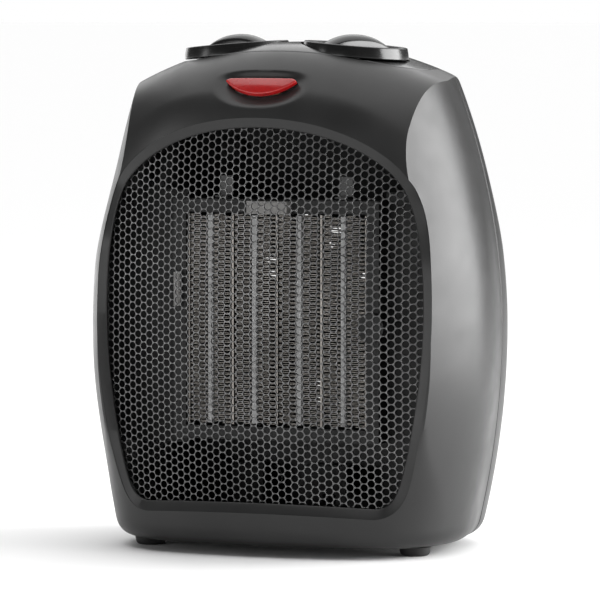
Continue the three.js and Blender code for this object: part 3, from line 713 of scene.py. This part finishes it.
def front_case(material):
    outer = half_form("case_front", True, elevations(), FACE_COLUMNS, SIDE_COLUMNS)
    trimmed = half_form("seat_limit", True, np.radians(np.linspace(-90, 90, 121)), 40, 16, 0.5)
    seat = combine(grille_seat(), trimmed, "INTERSECT")
    shell = combine(outer, hollow_form(True))
    combine(shell, seat, "UNION")
    combine(shell, opening_cutter())
    combine(shell, panel_well())
    combine(shell, on_forehead(prism("lens_hole", lens_outline(FIT), -14, 14)))
    finish_piece(shell, "case", "case_plastic", material, "front_shell")


def stadium(width, height, steps=10):
    """Outline of a slot with round ends."""
    turn = np.radians(np.linspace(-90, 90, steps))
    radius = height / 2
    right = np.column_stack([width / 2 - radius + radius * np.cos(turn), radius * np.sin(turn)])
    return np.concatenate([right, -right])


def facing_rear(outline, x, z, low, high, name):
    """A prism over an outline in the X-Z plane, between two depths."""
    moved = outline + [x, z]
    return loft(name, [onto_plane(moved, lambda x, z: np.full(x.shape, float(y))) for y in (low, high)])


def circle(radius, steps=32):
    turn = np.linspace(0, 2 * math.pi, steps, endpoint=False)
    return np.column_stack([radius * np.cos(turn), radius * np.sin(turn)])


SCREWS = [name for name in frame["nodes"] if name.startswith("case_screw")]
INTAKE_SLOTS = 13
INTAKE_PITCH = 7.6
INTAKE_HEIGHT = 3.4
INTAKE_COLUMNS = (-1, 0, 1)
INTAKE_HALF_WIDTH = 48
INTAKE_HALF_HEIGHT = 54
INTAKE_RIB = 4           # width of the upright ribs between the columns of slots
BOSS_RADIUS = 5.4
COUNTERBORE_RADIUS = 3.8
GLAND_HOLE_RADIUS = 6.3
TIP_HOLE_RADIUS = 4.4


def screw_place(name):
    low, high = box_mm(name)
    return (low + high) / 2, high[1]


def middle_mm(node):
    low, high = box_mm(node)
    return (low + high) / 2


def intake_slots():
    """Rows of slots over an ellipse in the back, behind the fan."""
    slots = []
    for row in range(INTAKE_SLOTS):
        rise = (row - (INTAKE_SLOTS - 1) / 2) * INTAKE_PITCH
        reach = INTAKE_HALF_WIDTH * math.sqrt(1 - (rise / INTAKE_HALF_HEIGHT) ** 2)
        length = (2 * reach - 2 * INTAKE_RIB) / len(INTAKE_COLUMNS)
        outline = stadium(length, INTAKE_HEIGHT)
        for column in INTAKE_COLUMNS:
            x = column * (length + INTAKE_RIB)
            slots.append(facing_rear(outline, x, ELEMENT_Z + rise, 40, 90, "slot"))
    return slots


def screw_bosses():
    bosses = []
    for name in SCREWS:
        (x, _, z), head_y = screw_place(name)
        bosses.append(facing_rear(circle(BOSS_RADIUS), x, z, head_y - 15, head_y - 0.2, "boss"))
    limit = half_form("limit", False, elevations()[::4], 40, 20, 0.4)
    return combine(join("bosses", bosses), limit, "INTERSECT")


def rear_case(material):
    outer = half_form("case_rear", False, elevations()[::2], 70, 40)
    bosses = screw_bosses()
    shell = combine(outer, hollow_form(False))
    combine(shell, bosses, "UNION")
    combine(shell, panel_well())
    holes = intake_slots()
    for name in SCREWS:
        (x, _, z), head_y = screw_place(name)
        bore = facing_rear(circle(COUNTERBORE_RADIUS), x, z, head_y - 2.1, head_y + 20, "counterbore")
        holes.append(bore)
    x, _, z = middle_mm("cord_gland")
    holes.append(facing_rear(circle(GLAND_HOLE_RADIUS), x, z, 20, 90, "gland_hole"))
    combine(shell, join("holes", holes))
    tip = middle_mm("tip_switch_plunger")[:2]
    combine(shell, prism("tip_hole", circle(TIP_HOLE_RADIUS) + tip, -5, 12))
    finish_piece(shell, "case", "case_plastic", material, "rear_shell")


# ------------------------------------------------------------------ panel and knobs
def on_knob_axis(piece, side):
    turn = Matrix.Rotation(side * KNOB_TILT, 4, "Y")
    centre = Vector((side * KNOB_CENTRE[0], KNOB_CENTRE[1], KNOB_CENTRE[2])) * MM
    return place(piece, Matrix.Translation(centre) @ turn)


POCKET_FLOOR = -6.3    # heights from here to the knobs are on a knob's axis, from its rim
POCKET_RADIUS = 26.0
POCKET_WALL = 1.8
BORE_RADIUS = 4.2
CUP_SET_BACK = 0.4     # keeps the pockets' cups under the panel's face
CUP_FOOT_Z = 205.0


def top_panel(material):
    """A plate that follows the crown, with a round pocket and a bore for each knob."""
    def bottom(x, y):
        return case_top(x, y) - PANEL_THICKNESS

    def cup_top(x, y):
        return case_top(x, y) - CUP_SET_BACK

    def cup_foot(x, y):
        return np.full(x.shape, CUP_FOOT_Z)

    panel = pillow("top_plate", panel_outline(-FIT), case_top, bottom, 0.7, rings=60)
    for side in (-1, 1):
        cup = prism("cup", circle(POCKET_RADIUS + POCKET_WALL, 64), POCKET_FLOOR - 2, -2.6)
        limit = pillow("limit", panel_outline(-5), cup_top, cup_foot, 0.5, rings=20)
        combine(panel, combine(on_knob_axis(cup, side), limit, "INTERSECT"), "UNION")
    for side in (-1, 1):
        profile = [(0, POCKET_FLOOR), (POCKET_RADIUS, POCKET_FLOOR), (POCKET_RADIUS, 14), (0, 14)]
        combine(panel, on_knob_axis(lathe("pocket", profile, 128), side))
        combine(panel, on_knob_axis(prism("bore", circle(BORE_RADIUS, 40), -30, 10), side))
    finish_piece(panel, "case", "gloss_black", material, "top_panel")


SKIRT_FOOT = -5.5
RIM_RADIUS = 24.4
RIM_ROUND = 0.6
RECESS = -1.2
SOCKET_RADIUS = 3.3
SOCKET_TOP = -0.9
GRIP_HALF_LENGTH = 19.4
GRIP_END = -1.6        # height of the grip's ends
GRIP_RISE = 6.2
GRIP_FOOT = -2.4
GRIP_HALF_WIDTH = 5.2
THERMOSTAT_REST = math.radians(-20)   # how the grips lie across the knobs at rest
MODE_REST = math.radians(58)


def grip(turn):
    """A bar with an arched back and leaning sides, narrower towards its ends."""
    angle = np.radians(np.linspace(0, 180, 15))
    rings = []
    for share in np.linspace(-1, 1, 41):
        height = GRIP_END + GRIP_RISE * (1 - abs(share) ** 2.3)
        width = GRIP_HALF_WIDTH * (1 - 0.35 * abs(share) ** 3)
        arch_y = width * np.cos(angle) * (1 - 0.12 * np.sin(angle) ** 2)
        arch_z = GRIP_FOOT + (height - GRIP_FOOT) * np.sin(angle) ** 0.42
        rings.append(np.column_stack([np.full(15, GRIP_HALF_LENGTH * share), arch_y, arch_z]))
    return place(loft("grip", rings), Matrix.Rotation(turn, 4, "Z"))


def knob(name, side, turn, material):
    """A flared skirt, a raised rim round a shallow recess, and an arched grip across it."""
    rounding = np.radians(np.linspace(0, 90, 5))
    profile = [(0, SKIRT_FOOT), (24.9, SKIRT_FOOT), (25.3, -5.1), (25.3, -4.6), (24.9, -2.6), (24.5, -0.9)]
    for angle in rounding:
        radius = RIM_RADIUS - RIM_ROUND * (1 - math.cos(angle))
        profile.append((radius, RIM_ROUND * (math.sin(angle) - 1)))
    profile += [(22.6, 0.0), (22.3, -0.1), (22.0, -0.5), (21.7, -1.0), (21.2, RECESS), (0, RECESS)]
    body = lathe(name, profile, 160)
    combine(body, grip(turn), "UNION")
    combine(body, prism("socket", circle(SOCKET_RADIUS, 32), -20, SOCKET_TOP))
    on_knob_axis(body, side)
    control = name.replace("_dial_cap", "")
    finish_piece(body, control + "_dial", "gloss_black", material, control + "_knob", angle=30)


def lens(material):
    def top(x, y):
        return 0.6 + 0.9 * (1 - (x / 17.6) ** 2) * np.clip(1 - ((y + 0.7) / 5.6) ** 2, 0, 1)

    piece = pillow("lens_window", lens_outline(0.0), top, lambda x, y: np.full(x.shape, -1.6), 0.5,
                   rings=14, centre=(0, -0.4))
    finish_piece(on_forehead(piece), "case", "lens_red", material, "pilot_lens", angle=40)


# ------------------------------------------------------------------ grille
HOLE_SIDES = 18
HOLE_RADIUS = 1.65
SHEET = 0.8            # thickness of the grille


def honeycomb_cell():
    """Outlines and depths of one hole with a rolled front edge, out to its neighbours' hexagons."""
    corners = GRILLE_PITCH / math.sqrt(3) * circle(1, 6)
    thirds = np.arange(3)[:, None] / 3
    border = np.concatenate([corners[i] + (corners[(i + 1) % 6] - corners[i]) * thirds for i in range(6)])
    ring = border / np.linalg.norm(border, axis=1, keepdims=True)
    return [
        (border, 0.0),
        (ring * (HOLE_RADIUS + 0.13), 0.0),
        (ring * (HOLE_RADIUS + 0.05), 0.1),
        (ring * HOLE_RADIUS, 0.3),
        (ring * HOLE_RADIUS, SHEET),
        (border, SHEET),
    ]


def grille(material):
    """A honeycomb of round holes with rolled edges, in a curved sheet."""
    column_pitch = GRILLE_PITCH * math.sqrt(3) / 2
    outline = opening_outline(1.2, 14)
    reach_x = outline[:, 0].max() + GRILLE_PITCH
    low_z = outline[:, 1].min() - GRILLE_PITCH
    high_z = outline[:, 1].max() + GRILLE_PITCH
    layers = honeycomb_cell()
    points = []
    faces = []
    columns = int(reach_x / column_pitch) + 1
    for column in range(-columns, columns + 1):
        x = column * column_pitch
        shift = 0.5 * (column % 2)
        for row in range(int((high_z - low_z) / GRILLE_PITCH) + 1):
            z = low_z + (row + shift) * GRILLE_PITCH
            base = len(points) * HOLE_SIDES
            for flat, depth in layers:
                points.append(onto_plane(flat + [x, z], grille_y) + [0, GRILLE_SET_BACK + depth, 0])
            faces += grid_faces(len(layers), HOLE_SIDES, base, wrap=True)
    sheet = mesh_piece("grille_mesh", np.concatenate(points), faces, weld=0.01)
    close_border(sheet)
    trim = facing_rear(outline, 0, 0, -100, -20, "trim")
    combine(sheet, trim, "INTERSECT")
    keep_largest(sheet)
    finish_piece(sheet, "case", "grille_steel", material, "front_grille", angle=50)


def close_border(piece):
    """Joins the front and back edges of the sheet all round, so that it is closed."""
    work = bmesh.new()
    work.from_mesh(piece.data)
    edges = [edge for edge in work.edges if edge.is_boundary]
    bmesh.ops.bridge_loops(work, edges=edges)
    bmesh.ops.recalc_face_normals(work, faces=work.faces)
    work.to_mesh(piece.data)
    work.free()


def keep_largest(piece):
    """Drops the crumbs that a cut through a perforated sheet leaves."""
    work = bmesh.new()
    work.from_mesh(piece.data)
    left = set(work.verts)
    islands = []
    while left:
        stack = [left.pop()]
        island = list(stack)
        while stack:
            for edge in stack.pop().link_edges:
                for vertex in edge.verts:
                    if vertex in left:
                        left.remove(vertex)
                        stack.append(vertex)
                        island.append(vertex)
        islands.append(island)
    islands.sort(key=len)
    crumbs = [vertex for island in islands[:-1] for vertex in island]
    bmesh.ops.delete(work, geom=crumbs, context="VERTS")
    work.to_mesh(piece.data)
    work.free()


# ------------------------------------------------------------------ small parts
FIN_PITCH = 1.9
FIN_SHEET = 0.22
FIN_MARGIN = 0.3


def fin_stack(node, material):
    """A ribbon of thin sheet folded to and fro between its two strips."""
    low, high = box_mm(node)
    middle = (low + high) / 2
    half_width = (high[0] - low[0]) / 2
    folds = int((high[2] - low[2]) / FIN_PITCH)
    samples = 8
    t = np.arange(folds * samples + 1) / samples
    wave = np.clip(1.35 * np.sin(2 * math.pi * t), -1, 1)
    x = middle[0] + (half_width - FIN_MARGIN / 2) * wave
    z = low[2] + FIN_MARGIN + t * (high[2] - low[2] - 2 * FIN_MARGIN) / folds
    rings = []
    for y, lift in ((low[1], 0), (high[1], 0), (high[1], FIN_SHEET), (low[1], FIN_SHEET)):
        rings.append(np.column_stack([x, np.full(len(x), y), z + lift]))
    points = np.stack(rings, 1).reshape(-1, 3)
    faces = grid_faces(len(x), 4, wrap=True)
    last = (len(x) - 1) * 4
    faces += [(0, 1, 2, 3), (last, last + 1, last + 2, last + 3)]
    piece = mesh_piece(node.replace("stack", "ribbon"), points, faces)
    finish_piece(piece, "case", "fin_aluminium", material, node, angle=60)


def foot(node, material):
    """A low rubber foot with a rounded rim and a hollow underside."""
    low, high = box_mm(node)
    middle = (low + high) / 2
    radius = (high[0] - low[0]) / 2
    top = high[2]
    profile = [(0, 0.9), (3.6, 0.9), (4.0, 0.7), (4.3, 0.15), (4.7, 0.0)]
    profile += [(radius - 2.2, 0.0), (radius - 1.5, 0.2), (radius - 0.9, 0.7), (radius - 0.5, 1.6)]
    profile += [(radius - 0.1, top - 0.6), (radius, top), (0, top)]
    piece = lathe(node + "_pad", profile, 64)
    place(piece, Matrix.Translation(Vector((middle[0], middle[1], 0)) * MM))
    finish_piece(piece, "case", "foot_rubber", material, node, angle=35)


def screw(node, material):
    """A pan-head screw with a cross recess."""
    (x, _, z), head_y = screw_place(node)
    low, _ = box_mm(node)
    rounding = np.radians(np.linspace(0, 90, 6))
    end = low[1] - head_y
    head = 3.4
    profile = [(0, end), (1.7, end), (1.7, -1.8), (head, -1.8), (head, -0.9)]
    profile += [(head - 1.2 * (1 - math.cos(a)), 0.9 * (math.sin(a) - 1)) for a in rounding[1:]]
    piece = lathe(node + "_cross", profile + [(0, 0)], 48)
    for width, height in ((0.8, 3.6), (3.6, 0.8)):
        outline = np.array([(-1, -1), (1, -1), (1, 1), (-1, 1)]) * [width / 2, height / 2]
        combine(piece, prism("recess", outline, -1.2, 1))
    turn = Matrix.Rotation(-math.pi / 2, 4, "X")
    place(piece, Matrix.Translation(Vector((x, head_y, z)) * MM) @ turn)
    finish_piece(piece, "case", "bright_steel", material, node, angle=30)


def gland(material):
    """The bush in the rear wall where the mains lead would enter."""
    low, high = box_mm("cord_gland")
    middle = (low + high) / 2
    length = high[1] - low[1]
    profile = [(3.6, 0), (8, 0), (8, 1.6), (6, 1.6), (6, length - 1.2), (5.7, length - 0.4), (5.1, length),
               (4.2, length), (3.8, length - 0.4), (3.6, length - 1.0)]
    piece = ring_solid("lead_bush", [np.column_stack([circle(r, 48), np.full(48, z)]) for r, z in profile])
    centre = Matrix.Translation(Vector((middle[0], low[1], middle[2])) * MM)
    place(piece, centre @ Matrix.Rotation(-math.pi / 2, 4, "X"))
    finish_piece(piece, "case", "foot_rubber", material, "cord_gland", angle=35)


def spring(material):
    """A wire coil between the plunger's flange and the switch."""
    low, high = box_mm("tip_switch_spring")
    middle = (low + high) / 2
    turns = 6
    steps = 24
    t = np.linspace(0, turns, turns * steps + 1)
    wire = 0.4
    z = low[2] + wire + (high[2] - low[2] - 2 * wire) * t / turns
    radius = (high[0] - low[0]) / 2 - wire
    path = np.column_stack([radius * np.cos(2 * math.pi * t), radius * np.sin(2 * math.pi * t), z])
    ring = np.linspace(0, 2 * math.pi, 10, endpoint=False)
    rings = []
    for point, angle in zip(path, 2 * math.pi * t):
        out = np.array([math.cos(angle), math.sin(angle), 0])
        section = point + wire * (np.cos(ring)[:, None] * out + np.sin(ring)[:, None] * [0, 0, 1])
        rings.append(section + [middle[0], middle[1], 0])
    piece = loft("tip_coil", rings)
    finish_piece(piece, "case", "bright_steel", material, "tip_switch_spring", angle=60)


# ------------------------------------------------------------------ materials
def new_material(name):
    material = bpy.data.materials.new(name)
    material.use_nodes = True
    nodes = material.node_tree.nodes
    return material, nodes, material.node_tree.links, nodes["Principled BSDF"]


def noise(nodes, links, scale, detail=2.0, stretch=None):
    """A noise value over the object's own coordinates."""
    where = nodes.new("ShaderNodeTexCoord").outputs["Object"]
    if stretch:
        mapping = nodes.new("ShaderNodeMapping")
        mapping.inputs["Scale"].default_value = stretch
        links.new(where, mapping.inputs["Vector"])
        where = mapping.outputs["Vector"]
    texture = nodes.new("ShaderNodeTexNoise")
    texture.inputs["Scale"].default_value = scale
    texture.inputs["Detail"].default_value = detail
    links.new(where, texture.inputs["Vector"])
    return texture.outputs["Fac"]


def spread(nodes, links, value, low, high):
    """Maps the middle of a noise value onto a range."""
    node = nodes.new("ShaderNodeMapRange")
    node.inputs["From Min"].default_value = 0.3
    node.inputs["From Max"].default_value = 0.7
    node.inputs["To Min"].default_value = low
    node.inputs["To Max"].default_value = high
    links.new(value, node.inputs["Value"])
    return node.outputs["Result"]


def surface(name, dark, light, rough, metallic=0.0, grain=900.0, depth=0.02, stretch=None, coat=0.0,
            specular=0.5, cloud=28.0):
    """A material with clouded colour, uneven roughness and a fine grain in its surface."""
    material, nodes, links, shader = new_material(name)
    shader.inputs["Metallic"].default_value = metallic
    shader.inputs["Specular IOR Level"].default_value = specular
    shader.inputs["Coat Weight"].default_value = coat
    shader.inputs["Coat Roughness"].default_value = 0.05
    tone = nodes.new("ShaderNodeMix")
    tone.data_type = "RGBA"
    tone.inputs["A"].default_value = (*dark, 1)
    tone.inputs["B"].default_value = (*light, 1)
    mixed = nodes.new("ShaderNodeMath")
    mixed.operation = "MULTIPLY_ADD"
    links.new(spread(nodes, links, noise(nodes, links, cloud, 4.0), 0, 0.7), mixed.inputs[0])
    mixed.inputs[1].default_value = 1.0
    links.new(spread(nodes, links, noise(nodes, links, grain, 1.0, stretch), 0, 0.3), mixed.inputs[2])
    links.new(mixed.outputs["Value"], tone.inputs["Factor"])
    links.new(tone.outputs["Result"], shader.inputs["Base Color"])
    wear = noise(nodes, links, cloud * 2.6, 3.0, stretch)
    links.new(spread(nodes, links, wear, *rough), shader.inputs["Roughness"])
    bump = nodes.new("ShaderNodeBump")
    bump.inputs["Strength"].default_value = 1.0
    bump.inputs["Distance"].default_value = depth * MM
    links.new(noise(nodes, links, grain, 2.0, stretch), bump.inputs["Height"])
    links.new(bump.outputs["Normal"], shader.inputs["Normal"])
    return material


def grey(value, warm=0.0):
    return (value * (1 + warm), value, value * (1 - warm))


MATERIALS = {
    "case_plastic": surface("case_plastic", grey(0.011), grey(0.017), (0.34, 0.42), grain=2400, depth=0.006,
                            specular=0.42),
    "gloss_black": surface("gloss_black", grey(0.005), grey(0.008), (0.2, 0.28), grain=500, depth=0.0015),
    "dark_plastic": surface("dark_plastic", grey(0.006), grey(0.011), (0.5, 0.62), grain=1500, depth=0.012),
    "pale_plastic": surface("pale_plastic", grey(0.26, 0.02), grey(0.36, 0.03), (0.42, 0.55), grain=1500,
                            depth=0.01),
    "lens_red": surface("lens_red", (0.3, 0.005, 0.006), (0.42, 0.01, 0.01), (0.2, 0.3), grain=700,
                        depth=0.002, coat=0.4),
    "lamp_glass": surface("lamp_glass", (0.7, 0.42, 0.25), (0.85, 0.55, 0.36), (0.05, 0.1), grain=400,
                          depth=0.001, coat=0.8),
    "grille_steel": surface("grille_steel", grey(0.11), grey(0.16), (0.24, 0.34), metallic=0.75, grain=1600,
                            depth=0.006),
    "fin_aluminium": surface("fin_aluminium", grey(0.16, 0.07), grey(0.3, 0.07), (0.25, 0.38), metallic=1.0,
                             grain=900, depth=0.008, stretch=(1, 1, 0.2)),
    "bright_steel": surface("bright_steel", grey(0.06), grey(0.1), (0.38, 0.5), metallic=1.0, grain=1200,
                            depth=0.006, stretch=(1, 0.15, 1)),
    "ceramic_white": surface("ceramic_white", grey(0.4), grey(0.58), (0.6, 0.75), grain=1300,
                             depth=0.02),
    "foot_rubber": surface("foot_rubber", grey(0.008), grey(0.014), (0.6, 0.75), grain=1100, depth=0.03),
}


def dress_cad_nodes():
    """Gives every CAD node that stays in sight the material of its slot."""
    slots = {entry["node"]: entry["material_slot"] for entry in frame["record"]["subparts"]}
    for name, node in frame["nodes"].items():
        material = MATERIALS[slots[name]]
        if node.material_slots:
            for material_slot in node.material_slots:
                material_slot.material = material
        else:
            node.data.materials.append(material)


# ------------------------------------------------------------------ studio
def add_floor():
    mesh = bpy.data.meshes.new("floor")
    reach = 200
    corners = [(-reach, -reach, 0), (reach, -reach, 0), (reach, reach, 0), (-reach, reach, 0)]
    mesh.from_pydata(corners, [], [(0, 1, 2, 3)])
    floor = bpy.data.objects.new("floor", mesh)
    bpy.context.scene.collection.objects.link(floor)
    material, _, _, shader = new_material("floor_paint")
    shader.inputs["Base Color"].default_value = (0.86, 0.86, 0.86, 1)
    shader.inputs["Roughness"].default_value = 0.9
    mesh.materials.append(material)


def add_light(name, azimuth, elevation, distance, size, power, aim=(0, 0, 0.12)):
    """A soft box on a sphere round the object. Azimuth 0 is in front and 90 degrees to the right."""
    data = bpy.data.lights.new(name, "AREA")
    data.shape = "RECTANGLE"
    data.size, data.size_y = size
    data.energy = power
    light = bpy.data.objects.new(name, data)
    bpy.context.scene.collection.objects.link(light)
    turn, rise = math.radians(azimuth), math.radians(elevation)
    way = Vector((math.sin(turn) * math.cos(rise), -math.cos(turn) * math.cos(rise), math.sin(rise)))
    light.location = Vector(aim) + way * distance
    light.visible_camera = False
    light.rotation_euler = (-way).to_track_quat("-Z", "Y").to_euler()


def add_world(ambient):
    """A white backdrop for the camera, over a dimmer even light for everything else."""
    world = bpy.data.worlds.new("studio")
    bpy.context.scene.world = world
    world.use_nodes = True
    nodes, links = world.node_tree.nodes, world.node_tree.links
    background = nodes["Background"]
    background.inputs["Color"].default_value = (1, 1, 1, 1)
    strength = nodes.new("ShaderNodeMapRange")
    strength.inputs["To Min"].default_value = ambient
    strength.inputs["To Max"].default_value = 1.0
    links.new(nodes.new("ShaderNodeLightPath").outputs["Is Camera Ray"], strength.inputs["Value"])
    links.new(strength.outputs["Result"], background.inputs["Strength"])


def add_sky(strength):
    """A wide overhead light, a little behind the object, that keeps the floor pale all the way out."""
    data = bpy.data.lights.new("sky", "SUN")
    data.energy = strength
    data.angle = math.radians(100)
    light = bpy.data.objects.new("sky", data)
    bpy.context.scene.collection.objects.link(light)
    light.rotation_euler = (math.radians(-22), 0, 0)


def add_studio():
    bpy.context.scene.view_settings.view_transform = "Standard"
    add_world(0.12)
    add_sky(3.5)
    add_light("right_box", 106, 8, 1.1, (1.0, 0.9), 33)
    add_light("front_box", -24, 4, 1.9, (1.4, 0.5), 5)
    add_light("left_box", -56, 6, 1.5, (0.3, 0.9), 3)
    add_light("left_rear_box", -135, 10, 1.4, (0.5, 1.0), 2.5)


# ------------------------------------------------------------------ the whole model
add_camera()
dress_cad_nodes()
front_case(MATERIALS["case_plastic"])
rear_case(MATERIALS["case_plastic"])
top_panel(MATERIALS["gloss_black"])
knob("thermostat_dial_cap", -1, THERMOSTAT_REST, MATERIALS["gloss_black"])
knob("mode_dial_cap", 1, MODE_REST, MATERIALS["gloss_black"])
lens(MATERIALS["lens_red"])
grille(MATERIALS["grille_steel"])
for node_name in sorted(frame["nodes"]):
    if node_name.startswith("fin_stack"):
        fin_stack(node_name, MATERIALS["fin_aluminium"])
    elif node_name.startswith("foot_"):
        foot(node_name, MATERIALS["foot_rubber"])
    elif node_name.startswith("case_screw"):
        screw(node_name, MATERIALS["bright_steel"])
gland(MATERIALS["foot_rubber"])
spring(MATERIALS["bright_steel"])
add_floor()
add_studio()
